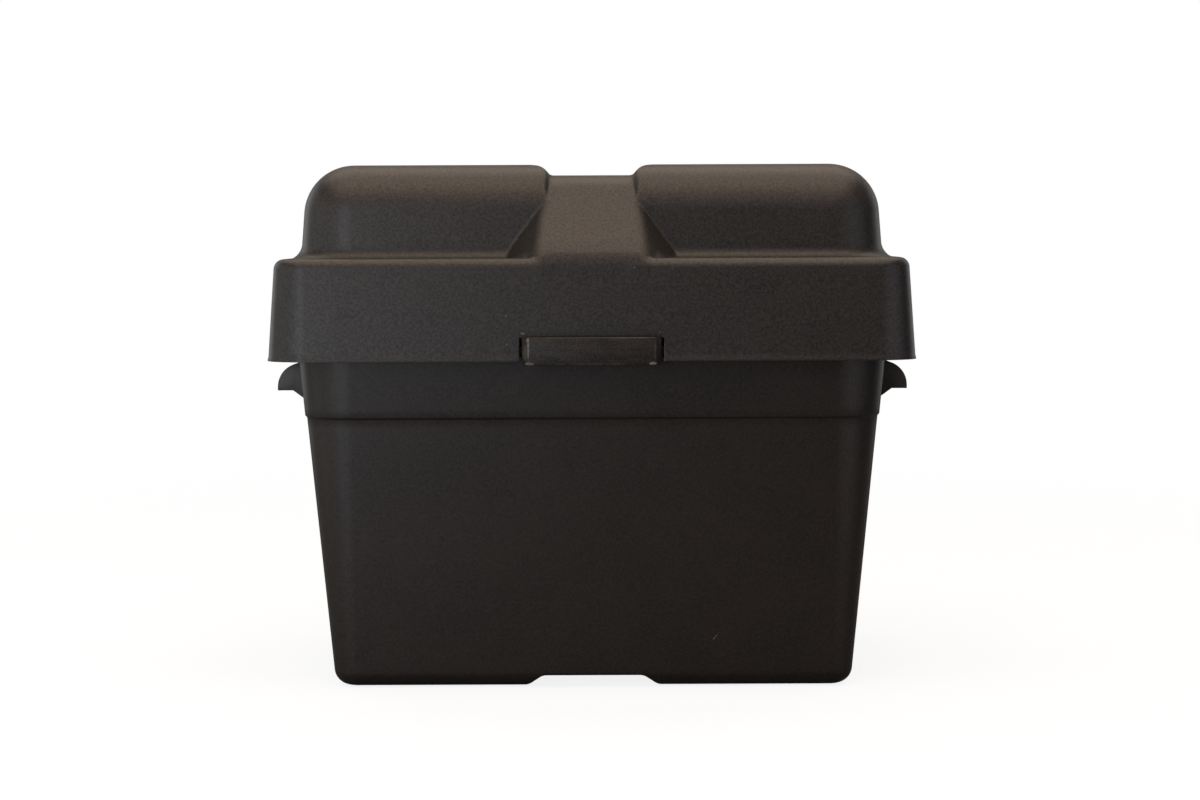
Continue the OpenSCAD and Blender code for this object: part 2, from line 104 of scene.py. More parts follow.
# To a micrometre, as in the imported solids
SKIRT_X, SKIRT_Y = round(FLANGE_X + SKIRT_OUT, 3), round(FLANGE_Y + SKIRT_OUT, 3)
SKIRT_Z = RIM_Z - LID_OVERLAP
SKIRT_CORNER = 22.0
BEAD, BEAD_H = 0.3, 1.5  # reach and height of the bead at the skirt's foot
CREST_R = 5.5
CREST_Z = SKIRT_Z + SKIRT_H
CREST_AXIS_Z = CREST_Z - CREST_R
CREST_IN = 8.883  # from the skirt's foot in to its axis, so that it runs on from the skirt
CREST_AXIS_X, CREST_AXIS_Y = SKIRT_X - CREST_IN, SKIRT_Y - CREST_IN
GUTTER_D, GUTTER_W = 1.0, 2.2  # slope from the crest down to the ledge
LEDGE_Z = CREST_Z - GUTTER_D
END_LEDGE, SIDE_LEDGE = 12.9, 31.3  # from the skirt's foot to the domes
DOME_X, DOME_Y = SKIRT_X - END_LEDGE, SKIRT_Y - SIDE_LEDGE
DOME_H = 50.6  # of the domes above the crest
DOME_CORNER = 31.0
DOME_DRAFT = 4.5
DOME_SLOPE = math.tan(math.radians(DOME_DRAFT))
DOME_COS = math.cos(math.radians(DOME_DRAFT))
DOME_TOP_R = 27.5
DOME_Z = CREST_Z + DOME_H
FOOT_R_FRONT, FOOT_R_END = 7.0, 10.0  # fillets between the domes and the ledge
MEET_TURN = 70.0  # where crest and fillet meet at the ends, degrees
STRAP_HALF, STRAP_D = 22.9, 5.9  # channel across the top, at its floor
STRAP_Z = DOME_Z - STRAP_D
SHOULDER_W = 9.4  # from the channel's floor to a dome's top
RAMP_ANGLE = math.radians(44.0)  # slope of the ramps from level
RAMP_OUT, RAMP_UP = math.sin(RAMP_ANGLE), math.cos(RAMP_ANGLE)
RAMP_TOP_Y = 74.9
RAMP_FOOT_HALF = 27.5
RAMP_LOW_Z = 214.0  # below this the ramps leave the skirt as it is
FLANK_W = 19.6  # sideways spread of a ramp's flank at its foot
FIN_X, FIN_Y = (-125, -65, 65, 125), (-85, -30, 30, 85)
FIN_ROOT = 0.8  # a fin's distance from the skirt's outer face
FIN_FOOT, FIN_TAPER = 12.0, 2.8  # its upright edge above the rim, and lean above that

# --- The latch, in millimetres ----------------------------------------------
LATCH_OUT, LATCH_DROP = 4.2, 1.9  # out of the skirt's foot, and below it
LATCH_H = 14.6
LATCH_HALF, LATCH_FACE_HALF, LATCH_T = 36.3, 33.0, 2.2
LATCH_Y = SKIRT_Y + LATCH_OUT
LATCH_Z0 = SKIRT_Z - LATCH_DROP
LATCH_Z1 = LATCH_Z0 + LATCH_H
LATCH_GAP = 0.3  # between the latch's back and the skirt
LATCH_HOLLOW = 8.6  # depth of the latch's hollow behind its face
NOTCH_HALF, NOTCH_Z = LATCH_HALF + 1.5, LATCH_Z1 - 0.4  # in the skirt, round the latch
PIVOT_UP, PIVOT_IN = 3.7, 6.41  # above the rim, and in from the skirt's foot
PIVOT_Y, PIVOT_Z = SKIRT_Y - PIVOT_IN, RIM_Z + PIVOT_UP
PIN_R, BARREL_R = 1.6, 2.6
BOSS_W, BOSS_GAP = 6.0, 0.6  # the lid's bosses that hold the pins
WEB_T, WEB_DROP = 2.4, 3.0  # from the cap to the barrel, below the notch's top
ARM_HALF, ARM_GAP = LATCH_FACE_HALF - LATCH_T - 0.3, 0.8  # the gap is to the flange
HOOK_REACH, HOOK_T, HOOK_GAP = 2.3, 1.2, 0.3

# Heights of the skirt's level lines, close together at the bead
SKIRT_WALL = (SKIRT_Z, SKIRT_Z + 1, SKIRT_Z + 2, 182.0, 186.0, NOTCH_Z, 194.0, 200.0, 206.0,
              212.0, 217.0, 221.5)


# --- Small tools for shapes -------------------------------------------------
def smooth_min(a, b, k):
    """The smaller of two lengths, rounded over where they are within k of each other"""
    h = max(k - abs(a - b), 0.0) / k
    return min(a, b) - h * h * k / 4


def smooth_max(a, b, k):
    """The larger of two lengths, rounded over in the same way"""
    return -smooth_min(-a, -b, k)


def ease(low, high, value):
    """0 below low, 1 above high, smooth between"""
    t = min(max((value - low) / (high - low), 0.0), 1.0)
    return t * t * (3 - 2 * t)


def arc(centre, radius, start, end, steps):
    """Points of an arc in a section, each as (distance out, height); angles in degrees"""
    points = []
    for i in range(steps + 1):
        a = math.radians(start + (end - start) * i / steps)
        points.append((centre[0] + radius * math.cos(a), centre[1] + radius * math.sin(a)))
    return points


def wall_out(half, z):
    """Distance of the tub's outer wall from the middle, without the step line"""
    return half + TUB_SLOPE * z


def skirt_out(half, z):
    """Distance of the skirt's outer face from the middle; half is that at its foot"""
    return half - SKIRT_SLOPE * (z - SKIRT_Z)


class Ring:
    """One level line of a moulding: a rounded rectangle whose height may differ
    between the long sides and the ends"""

    def __init__(self, side, end, corner, mark):
        self.side_y, self.side_z = side
        self.end_x, self.end_z = end
        self.corner = corner
        self.mark = mark


class Column:
    """One upright line of a moulding's quarter: at a fixed X or further along the
    front, round the corner, or along the end"""

    def __init__(self, kind, value):
        self.kind, self.value = kind, value

    def at(self, ring, fixed):
        """The point where this line crosses a ring; fixed is the last fixed X"""
        axis_x, axis_y = ring.end_x - ring.corner, ring.side_y - ring.corner
        if self.kind == "fixed":
            return Vector((self.value, -ring.side_y, ring.side_z))
        if self.kind == "side":
            x = fixed + self.value * (axis_x - fixed)
            return Vector((x, -ring.side_y, ring.side_z))
        if self.kind == "corner":
            c, s = math.cos(self.value), math.sin(self.value)
            z = ring.side_z + (ring.end_z - ring.side_z) * ease(0, math.pi / 2, self.value)
            return Vector((axis_x + ring.corner * s, -axis_y - ring.corner * c, z))
        return Vector((ring.end_x, -axis_y * (1 - self.value), ring.end_z))


def quarter_columns(fixed, side_parts, corner_steps, end_parts):
    """The upright lines of a quarter, from the middle of the front to that of an end"""
    columns = [Column("fixed", x) for x in fixed]
    columns += [Column("side", i / side_parts) for i in range(1, side_parts + 1)]
    columns += [Column("corner", math.pi / 2 * i / corner_steps)
                for i in range(1, corner_steps + 1)]
    columns += [Column("end", i / end_parts) for i in range(1, end_parts + 1)]
    return columns


def extrude_row(bm, row):
    """Extrudes a string of vertices and gives the new string in the same order"""
    edges = [bm.edges.get((row[i], row[i + 1])) for i in range(len(row) - 1)]
    made = bmesh.ops.extrude_edge_only(bm, edges=edges)
    fresh = {v for v in made["geom"] if isinstance(v, bmesh.types.BMVert)}
    new_row = []
    for vert in row:
        new_row.append(next(e.other_vert(vert) for e in vert.link_edges
                            if e.other_vert(vert) in fresh))
    return new_row


def loft_quarter(bm, columns, rings, place):
    """Extrudes one quarter of a moulding from ring to ring; place shifts its points"""
    fixed = max(c.value for c in columns if c.kind == "fixed")
    row = [bm.verts.new(place(rings[0], c, c.at(rings[0], fixed))) for c in columns]
    for a, b in zip(row, row[1:]):
        bm.edges.new((a, b))
    rows = [row]
    for ring in rings[1:]:
        row = extrude_row(bm, row)
        for vert, column in zip(row, columns):
            vert.co = place(ring, column, column.at(ring, fixed))
        rows.append(row)
    return rows


def close_quarter(bm, columns, row):
    """Closes a quarter from its last or first row to the middle plane"""
    front = [v for v, c in zip(row, columns) if c.kind in ("fixed", "side")]
    rest = [v for v, c in zip(row, columns) if c.kind in ("corner", "end")]
    inner = extrude_row(bm, front)
    for vert in inner:
        vert.co.y = 0.0
    bm.faces.new([front[-1]] + rest + [inner[-1]])


def whole_from_quarter(bm):
    """Mirrors a quarter to the other three, welded where they meet"""
    for axis in "XY":
        bmesh.ops.mirror(bm, geom=bm.verts[:] + bm.edges[:] + bm.faces[:],
                         matrix=Matrix.Identity(4), merge_dist=0.001, axis=axis)
    bmesh.ops.remove_doubles(bm, verts=bm.verts[:], dist=0.001)
    bmesh.ops.recalc_face_normals(bm, faces=bm.faces[:])


def thicken(bm, wall):
    """Gives an open skin its wall: a copy of it is moved inwards and joined to it
    along the open edges. Gives the skin's own vertices."""
    bm.normal_update()
    outer = bm.verts[:]
    offsets = [v.normal * -wall for v in outer]
    rim = [e for e in bm.edges if len(e.link_faces) == 1]
    made = bmesh.ops.duplicate(bm, geom=bm.verts[:] + bm.edges[:] + bm.faces[:])
    inner_rim = [made["edge_map"][e] for e in rim]
    for vert, offset in zip(outer, offsets):
        made["vert_map"][vert].co += offset
    bmesh.ops.reverse_faces(bm, faces=[f for f in made["geom"]
                                       if isinstance(f, bmesh.types.BMFace)])
    bmesh.ops.bridge_loops(bm, edges=rim + inner_rim)
    bm.normal_update()
    return outer


def prism(bm, outline, start, end):
    """Extrudes an outline in the YZ plane from x = start to x = end"""
    verts = [bm.verts.new((start, y, z)) for y, z in outline]
    face = bm.faces.new(verts)
    made = bmesh.ops.extrude_face_region(bm, geom=[face])
    moved = [v for v in made["geom"] if isinstance(v, bmesh.types.BMVert)]
    bmesh.ops.translate(bm, verts=moved, vec=(end - start, 0, 0))
    everything = set(verts) | set(moved)
    faces = {f for v in everything for f in v.link_faces}
    bmesh.ops.recalc_face_normals(bm, faces=list(faces))
    return verts + moved


def turn(bm, verts, degrees):
    """Turns vertices about the upright middle line of the box"""
    bmesh.ops.rotate(bm, verts=verts, cent=(0, 0, 0),
                     matrix=Matrix.Rotation(math.radians(degrees), 3, "Z"))


def soften(bm, width, segments, angle, test=None):
    """Bevels the edges that are sharper than an angle, or those of them that pass a test"""
    limit = math.radians(angle)
    sharp = [e for e in bm.edges if len(e.link_faces) == 2
             and e.calc_face_angle(0.0) > limit and (test is None or test(e))]
    bmesh.ops.bevel(bm, geom=sharp, offset=width, offset_type="OFFSET", segments=segments,
                    profile=0.5, affect="EDGES", clamp_overlap=True, material=-1)


def cut_away(bm, cutters):
    """Cuts closed meshes out of a bmesh, with the Boolean modifier"""
    def as_object(source, name):
        mesh = bpy.data.meshes.new(name)
        source.to_mesh(mesh)
        source.free()
        made = bpy.data.objects.new(name, mesh)
        bpy.context.scene.collection.objects.link(made)
        return made

    blank = as_object(bm, "blank")
    tools = [as_object(cutter, "cutter") for cutter in cutters]
    for tool in tools:
        cut = blank.modifiers.new("cut", "BOOLEAN")
        cut.operation, cut.solver, cut.object = "DIFFERENCE", "EXACT", tool
    bpy.context.view_layer.update()
    shape = blank.evaluated_get(bpy.context.evaluated_depsgraph_get())
    result = bmesh.new()
    result.from_mesh(shape.to_mesh())
    shape.to_mesh_clear()
    for spare in [blank] + tools:
        mesh = spare.data
        bpy.data.objects.remove(spare)
        bpy.data.meshes.remove(mesh)
    bmesh.ops.remove_doubles(result, verts=result.verts[:], dist=0.0005)
    return result


def finish_piece(bm, name, material, node, sharp_angle=38.0):
    """Turns a bmesh in millimetres into a finished piece that stands for a node, which
    rides on the body of the same name"""
    bmesh.ops.transform(bm, matrix=Matrix.Scale(MM, 4), verts=bm.verts[:])
    mesh = bpy.data.meshes.new(name)
    bm.to_mesh(mesh)
    bm.free()
    mesh.polygons.foreach_set("use_smooth", [True] * len(mesh.polygons))
    mesh.set_sharp_from_angle(angle=math.radians(sharp_angle))
    mesh.materials.append(material)
    piece = bpy.data.objects.new(name, mesh)
    bpy.context.scene.collection.objects.link(piece)
    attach(piece, node)
    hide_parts(node)


# --- The lid's shape --------------------------------------------------------
def lid_rings():
    """The lid's level lines, from the foot of the skirt to the flat of the domes"""
    rings = []

    def ring(side, end):
        """A level line whose corner turns about the skirt's axis"""
        grown = (side[0] - SKIRT_Y + end[0] - SKIRT_X) / 2
        rings.append(Ring(side, end, SKIRT_CORNER + grown, "skirt"))

    def dome_ring(side, end):
        """A level line whose corner turns about the dome's axis"""
        grown = (side[0] - DOME_Y + end[0] - DOME_X) / 2
        rings.append(Ring(side, end, DOME_CORNER + grown, "dome"))

    def foot_arc(half, radius, start, steps):
        """The fillet between the ledge and a dome's wall"""
        out = half + (1 / DOME_COS - DOME_SLOPE) * radius
        return arc((out, LEDGE_Z + radius), radius, start, 180 + DOME_DRAFT, steps)

    for z in SKIRT_WALL:
        ring((skirt_out(SKIRT_Y, z), z), (skirt_out(SKIRT_X, z), z))
    crest_steps, foot_steps, wall_lines, top_steps = 13, 10, 15, 34
    for side, end in zip(
            arc((CREST_AXIS_Y, CREST_AXIS_Z), CREST_R, SKIRT_DRAFT, 90, crest_steps),
            arc((CREST_AXIS_X, CREST_AXIS_Z), CREST_R, SKIRT_DRAFT, MEET_TURN, crest_steps)):
        ring(side, end)

    # At the ends the fillet starts from the crest, while the front still has its ledge
    ledge_lines, before_fillet, halfway_down = 3, 4.5, 0.45
    sides = foot_arc(DOME_Y, FOOT_R_FRONT, 270, foot_steps)
    ends = foot_arc(DOME_X, FOOT_R_END, 180 + MEET_TURN, foot_steps + ledge_lines)
    ring((CREST_AXIS_Y - GUTTER_W / 2, CREST_Z - halfway_down * GUTTER_D), ends[0])
    ring((CREST_AXIS_Y - GUTTER_W, LEDGE_Z), ends[1])
    dome_ring((sides[0][0] + before_fillet, LEDGE_Z), ends[2])
    for side, end in zip(sides, ends[ledge_lines:]):
        dome_ring(side, end)

    top_axis_z = DOME_Z - DOME_TOP_R
    wall_top = top_axis_z + 1.0
    for i in range(wall_lines):
        side_z, end_z = (wall_top + (LEDGE_Z + radius - wall_top) * (1 - i / (wall_lines - 1))
                         for radius in (FOOT_R_FRONT, FOOT_R_END))
        dome_ring((DOME_Y - DOME_SLOPE * (side_z - LEDGE_Z), side_z),
                  (DOME_X - DOME_SLOPE * (end_z - LEDGE_Z), end_z))
    top_in = DOME_SLOPE * (top_axis_z - LEDGE_Z) + DOME_TOP_R / DOME_COS
    for out, z in arc((DOME_Y - top_in, top_axis_z), DOME_TOP_R, DOME_DRAFT, 90, top_steps):
        dome_ring((out, z), (out + DOME_X - DOME_Y, z))
    return rings


# Past both ends of its curve a shoulder runs on straight, clear of what it is rounded into
SLOPE_INSIDE, SLOPE_OUTSIDE = 1.2, 3.0


def shoulder_height(x):
    """Height of the strap channel's shoulder above the channel's floor"""
    along = x - STRAP_HALF
    if along >= SHOULDER_W:
        return STRAP_D + SLOPE_OUTSIDE * (along - SHOULDER_W)
    if along <= 0:
        return SLOPE_INSIDE * along
    return STRAP_D * math.sin(math.pi / 2 * (along / SHOULDER_W) ** 0.7)


def ramp_half(z):
    """Half the width of a ramp at a height"""
    return STRAP_HALF + (RAMP_FOOT_HALF - STRAP_HALF) * (STRAP_Z - z) / (STRAP_Z - LEDGE_Z)


def ramp_edge(z):
    """The point at a height where a ramp meets its flank"""
    return Vector((ramp_half(z), RAMP_TOP_Y + (STRAP_Z - z) / math.tan(RAMP_ANGLE), z))


# A flank is the plane through a ramp's edge and a point on the ledge beside its foot
FLANK_FOOT = ramp_edge(LEDGE_Z)
FLANK_WIDE = Vector((FLANK_FOOT.x + FLANK_W, DOME_Y + 1, LEDGE_Z))
FLANK_NORMAL = (FLANK_WIDE - FLANK_FOOT).cross(ramp_edge(STRAP_Z) - FLANK_FOOT).normalized()

# The lid's front is measured along a fan of lines, from here to its level lines
FAN_Y, FAN_Z = 45.0, SKIRT_Z
# How widely its surfaces are rounded into each other, measured along those lines
ROUND_RAMP_TOP, ROUND_RAMP_FOOT, ROUND_FLANK, ROUND_SHOULDER = 8.0, 5.5, 4.5, 4.0
ROUND_DOME, ROUND_DOME_MORE = 0.6, 1.2  # dome to shoulder, and how much more by a ramp
ROUND_JOIN, ROUND_JOIN_MORE = 1.3, 1.7  # shoulder to channel and ramp, and more high up


def strap_way(ring, column, point):
    """Moves a point of the lid's front onto the ramp, its flanks and the channel"""
    if column.kind != "fixed" or ring.side_z < RAMP_LOW_Z:
        return point
    x, z = abs(point.x), ring.side_z
    out, up = ring.side_y - FAN_Y, z - FAN_Z
    reach = math.hypot(out, up)
    out, up = out / reach, up / reach

    # The saddle between the domes keeps to whichever is nearest along this point's line:
    # the ramp, the channel's floor, the skirt or the flank
    to_ramp = (RAMP_TOP_Y - FAN_Y) * RAMP_OUT + (STRAP_Z - FAN_Z) * RAMP_UP
    along_ramp = out * RAMP_OUT + up * RAMP_UP
    ramp = to_ramp / along_ramp
    floor = (STRAP_Z - FAN_Z) / up
    skirt = (SKIRT_Y - FAN_Y) / (out + SKIRT_SLOPE * up)
    flank = ((FLANK_NORMAL.dot(FLANK_FOOT) - FLANK_NORMAL.x * x - FLANK_NORMAL.y * FAN_Y
              - FLANK_NORMAL.z * FAN_Z)
             / (FLANK_NORMAL.y * out + FLANK_NORMAL.z * up))
    saddle = smooth_min(smooth_min(ramp, floor, ROUND_RAMP_TOP), skirt, ROUND_RAMP_FOOT)
    saddle = smooth_min(saddle, flank, ROUND_FLANK)

    # The domes, cut down to the shoulders of the channel and of the ramp
    dome = reach
    if ring.mark == "dome":
        spread = ramp_half(min(z, STRAP_Z)) / STRAP_HALF
        over_floor = (STRAP_Z + shoulder_height(x) - FAN_Z) / up
        over_ramp = (to_ramp + shoulder_height(x / spread)) / along_ramp
        beside_ramp = ease(-1.0, 3.0, over_floor - over_ramp)
        dome = smooth_min(reach, smooth_min(over_floor, over_ramp, ROUND_SHOULDER),
                          ROUND_DOME + ROUND_DOME_MORE * beside_ramp)

    # The lid follows the farther of the two. The rounding between them fades out inside
    # the channel and down on the skirt
    join = ROUND_JOIN + ROUND_JOIN_MORE * ease(258.0, 266.0, z)
    join *= ease(19.0, 21.5, x) * ease(222.0, 230.0, z)
    reach = smooth_max(dome, saddle, join) if join > 0 else max(dome, saddle)
    return Vector((point.x, -(FAN_Y + reach * out), FAN_Z + reach * up))


def lid_shell(wall, bead):
    """The lid's outer skin, open at the notches and underneath, then its wall"""
    # Upright lines are close together across the channel's shoulders and the flanks
    fixed = [0, 5, 10, 14, 17, 19, 20.2, 21.2] + [22.0 + 0.8 * i for i in range(19)]
    fixed += [37.1, NOTCH_HALF] + [38.6 + 0.8 * i for i in range(16)] + [52, 54, 57]
    columns = quarter_columns(fixed, side_parts=5, corner_steps=20, end_parts=6)
    bm = bmesh.new()
    rows = loft_quarter(bm, columns, lid_rings(), strap_way)
    close_quarter(bm, columns, rows[-1])

    near = 0.01
    notch = [f for f in bm.faces
             if all(v.co.x < NOTCH_HALF + near and v.co.z < NOTCH_Z + near and v.co.y < 0
                    for v in f.verts)]
    bmesh.ops.delete(bm, geom=notch, context="FACES")
    whole_from_quarter(bm)

    for vert in thicken(bm, wall):
        side = Vector((vert.normal.x, vert.normal.y, 0))
        if vert.co.z < SKIRT_Z + BEAD_H and side.length > 0.1:
            vert.co += side.normalized() * bead
    return bm


def add_lid_ribs(bm):
    """Fins that rest on the tub's rim, and the bosses that hold the latches' pins"""
    crest_z, ledge_z = CREST_Z - LID_WALL / 2, LEDGE_Z - LID_WALL / 2
    for half, skirt, crest, places, turns in (
            (TUB_Y, SKIRT_Y, CREST_AXIS_Y, FIN_X, (0, 180)),
            (TUB_X, SKIRT_X, CREST_AXIS_X, FIN_Y, (90, 270))):
        rim_edge = wall_out(half, RIM_Z) + STEP_OUT
        outline = [(FIN_ROOT - skirt_out(skirt, RIM_Z), RIM_Z),
                   (FIN_ROOT - skirt_out(skirt, CREST_AXIS_Z), CREST_AXIS_Z),
                   (-crest, crest_z), (2 - crest, ledge_z), (FIN_TAPER - rim_edge, ledge_z),
                   (-rim_edge, RIM_Z + FIN_FOOT), (-rim_edge, RIM_Z)]
        for place in places:
            for degrees in turns:
                fin = prism(bm, outline, place - RIB_T / 2, place + RIB_T / 2)
                turn(bm, fin, degrees)

    chamfer, root = 1.0, 1.0
    front, back = root - skirt_out(SKIRT_Y, PIVOT_Z), BARREL_R + BOSS_GAP - PIVOT_Y
    low = RIM_Z + BOSS_GAP
    high = 2 * PIVOT_Z - low
    outline = [(front, low), (front, high), (back - chamfer, high), (back, high - chamfer),
               (back, low)]
    for degrees in (0, 180):
        for side in (-1, 1):
            boss = prism(bm, outline, *sorted((side * NOTCH_HALF, side * (NOTCH_HALF + BOSS_W))))
            turn(bm, boss, degrees)


def build_lid(material, sizes):
    """The lid: its shell with softened edges, its fins and its bosses"""
    bm = lid_shell(sizes.lid_wall / MM, sizes.bead / MM)
    soften(bm, width=0.3, segments=2, angle=60.0)
    add_lid_ribs(bm)
    finish_piece(bm, "lid_moulding", material, "lid")


# --- The tub's shape --------------------------------------------------------
def tub_rings():
    """The tub's level lines: up the outside, round the rim flange and down inside"""
    rings = []
    draft_cos = math.cos(math.radians(TUB_DRAFT))
    wall_axis, flange_axis = TUB_Y - TUB_CORNER, FLANGE_Y - FLANGE_CORNER
    thick = TUB_WALL / draft_cos
    under_flange, lip_z = RIM_Z - FLANGE_T, RIM_Z - LIP_H

    def ring(out, z, mark, corner_axis=wall_axis):
        rings.append(Ring((out, z), (out + TUB_X - TUB_Y, z), out - corner_axis, mark))

    edge = (wall_out(TUB_Y, TUB_EDGE) - TUB_EDGE / draft_cos, TUB_EDGE)
    for out, z in arc(edge, TUB_EDGE, -90, -TUB_DRAFT, 12):
        ring(out, z, "foot")
    for z in LOWER_WALL:
        ring(wall_out(TUB_Y, z), z, "wall")
    for below, share in STEP_CURVE:
        z = STEP_Z - below
        ring(wall_out(TUB_Y, z) + STEP_OUT * share, z, "wall")
    for z in UPPER_WALL + (under_flange,):
        ring(wall_out(TUB_Y, z) + STEP_OUT, z, "wall")
    for out, z in [(FLANGE_Y - FLANGE_T, under_flange), (FLANGE_Y - FLANGE_T, lip_z),
                   (FLANGE_Y, lip_z), (FLANGE_Y, RIM_Z - 3.0)] + arc(
                       (FLANGE_Y - FLANGE_EDGE, RIM_Z - FLANGE_EDGE), FLANGE_EDGE, 0, 90, 4):
        ring(out, z, "flange", flange_axis)
    for z in (RIM_Z,) + INNER_WALL:
        ring(wall_out(TUB_Y, z) - thick, z, "inside")
    inner_r = TUB_EDGE - TUB_WALL
    inner_z = TUB_FLOOR + inner_r
    inner = (wall_out(TUB_Y, inner_z) - thick - inner_r / draft_cos, inner_z)
    for out, z in arc(inner, inner_r, -TUB_DRAFT, -90, 8):
        ring(out, z, "inside")
    return rings


def under_rise(x):
    """Height of the strap channel's roof under the tub"""
    slope = (UNDER_FOOT_HALF - UNDER_HALF) / (UNDER_D + 1.0)
    rise = (UNDER_FOOT_HALF - x) / slope - 1.0
    return smooth_max(0.0, smooth_min(rise, UNDER_D, UNDER_ROUND), UNDER_ROUND)


def strap_way_under(ring, column, point):
    """Lifts the tub's underside and floor over the strap channel"""
    if column.kind == "fixed":
        rise = under_rise(abs(point.x))
        if ring.mark == "foot":
            point.z = max(point.z, rise)
        elif ring.mark == "inside":
            point.z = max(point.z, TUB_FLOOR + rise)
    return point


def tub_shell():
    """The tub's walls, floor and rim, as one closed skin"""
    # Upright lines are close together across the edges of the strap channel
    fixed = [0, 10, 20, 24, 26, 27.5, 29, 30.5, 32, 33.5, 35, 36.5, 38, 40, 44, 50]
    columns = quarter_columns(fixed, side_parts=5, corner_steps=24, end_parts=6)
    bm = bmesh.new()
    rows = loft_quarter(bm, columns, tub_rings(), strap_way_under)
    close_quarter(bm, columns, rows[0])
    close_quarter(bm, columns, rows[-1])
    whole_from_quarter(bm)
    return bm


def outlet_cutter(side_x, side_y):
    """A round-bottomed slot for a cable, across an end wall and the rim above it"""
    middle_y, top, reach = side_y * OUTLET_Y, RIM_Z + 5.0, 20.0
    outline = [(middle_y + OUTLET_R, top)]
    outline += arc((middle_y, RIM_Z - OUTLET_DEPTH + OUTLET_R), OUTLET_R, 0, -180, 16)
    outline += [(middle_y - OUTLET_R, top)]
    middle_x = side_x * (wall_out(TUB_X, RIM_Z) + STEP_OUT)
    bm = bmesh.new()
    prism(bm, outline, middle_x - reach, middle_x + reach)
    return bm


def add_grips(bm_tub):
    """One hooded finger grip at each end: a rounded block, hollowed from below"""
    axis = (wall_out(TUB_X, GRIP_Z) + STEP_OUT + GRIP_REACH - GRIP_R, GRIP_Z - GRIP_R)
    lip_z = axis[1] - GRIP_LIP
    web_z = lip_z - GRIP_WEB
    wall = wall_out(TUB_X, web_z) + STEP_OUT
    face, root = axis[0] + GRIP_R, wall - GRIP_ROOT
    block = bmesh.new()
    outline = [(root, GRIP_Z)] + arc(axis, GRIP_R, 90, 0, 14) + [
        (face, lip_z), (face - 3 * GRIP_T, lip_z), (wall, web_z), (root, web_z)]
    prism(block, outline, -GRIP_HALF, GRIP_HALF)
    soften(block, width=0.7, segments=3, angle=45.0,
           test=lambda e: min(v.co.y for v in e.verts) > wall)

    # The hollow reaches well past the block behind and below, so that it opens both
    hollow = bmesh.new()
    back, below = wall - 4, lip_z - 12
    outline = [(back, GRIP_Z - GRIP_T)] + arc(axis, GRIP_R - GRIP_T, 90, 0, 14) + [
        (face - GRIP_T, below), (back, below)]
    prism(hollow, outline, GRIP_T - GRIP_HALF, GRIP_HALF - GRIP_T)
    grip = cut_away(block, [hollow])
    spare = bpy.data.meshes.new("grip")
    for degrees in (-90, 180):
        turn(grip, grip.verts[:], degrees)
        grip.to_mesh(spare)
        bm_tub.from_mesh(spare)
    grip.free()
    bpy.data.meshes.remove(spare)


def add_tub_ribs(bm):
    """Ribs that keep the battery off the walls, and the rails that it stands on"""
    floor = TUB_FLOOR - RIB_ROOT
    for half, reach, places, turns in ((TUB_Y, 2.0, (-90, 0, 90), (0, 180)),
                                       (TUB_X, 7.0, (-45, 45), (90, 270))):
        foot = wall_out(half, TUB_FLOOR) - TUB_WALL
        low, top = (wall_out(half, z) - TUB_WALL for z in (RIB_LOW, RIB_TOP))
        outline = [(1.0 - foot, floor), (-(low + RIB_ROOT), RIB_LOW),
                   (-(top + RIB_ROOT), RIB_TOP), (-(top - 0.6), RIB_TOP),
                   (reach - foot, RIB_BEND), (reach - foot, floor)]
        for place in places:
            for degrees in turns:
                rib = prism(bm, outline, place - RIB_T / 2, place + RIB_T / 2)
                if place == 0:
                    for vert in rib:
                        vert.co.z = max(vert.co.z, floor + UNDER_D)
                turn(bm, rib, degrees)
    end, edge, top = RAIL_HALF, RAIL_HALF - RAIL_EDGE, TUB_FLOOR + UNDER_D
    outline = [(-end, floor), (end, floor), (end, top - RAIL_EDGE), (edge, top), (-edge, top),
               (-end, top - RAIL_EDGE)]
    for x in RAIL_X:
        for middle in (-x, x):
            prism(bm, outline, middle - RIB_T / 2, middle + RIB_T / 2)


def build_tub(material):
    """The tub: its shell with the cable outlets cut out, its grips, ribs and rails"""
    bm = cut_away(tub_shell(), [outlet_cutter(x, y) for x in (-1, 1) for y in (-1, 1)])
    soften(bm, width=0.35, segments=2, angle=60.0,
           test=lambda e: min(v.co.z for v in e.verts) > STEP_Z + 3)
    add_grips(bm)
    add_tub_ribs(bm)
    finish_piece(bm, "tub_moulding", material, "tub")


# --- The latches ------------------------------------------------------------
def latch_block():
    """The cap of a latch: a bar with splayed ends whose back follows the skirt"""
    def skirt_back(z):
        return -(skirt_out(SKIRT_Y, z) + LATCH_GAP)

    back, over_bead = -(SKIRT_Y + BEAD + LATCH_GAP), SKIRT_Z + 2.4
    outline = [(back, LATCH_Z0), (-LATCH_Y, LATCH_Z0), (-LATCH_Y, LATCH_Z1),
               (skirt_back(LATCH_Z1) - 0.8, LATCH_Z1),
               (skirt_back(LATCH_Z1 - 3), LATCH_Z1 - 3),
               (skirt_back(over_bead), over_bead), (back, SKIRT_Z + 1.2)]
    bm = bmesh.new()
    prism(bm, outline, -LATCH_HALF, LATCH_HALF)
    for vert in bm.verts:
        if vert.co.y < -LATCH_Y + 0.1:
            vert.co.x *= LATCH_FACE_HALF / LATCH_HALF
    soften(bm, width=0.55, segments=3, angle=30.0,
           test=lambda e: max(v.co.y for v in e.verts) < -SKIRT_Y)
    return bm


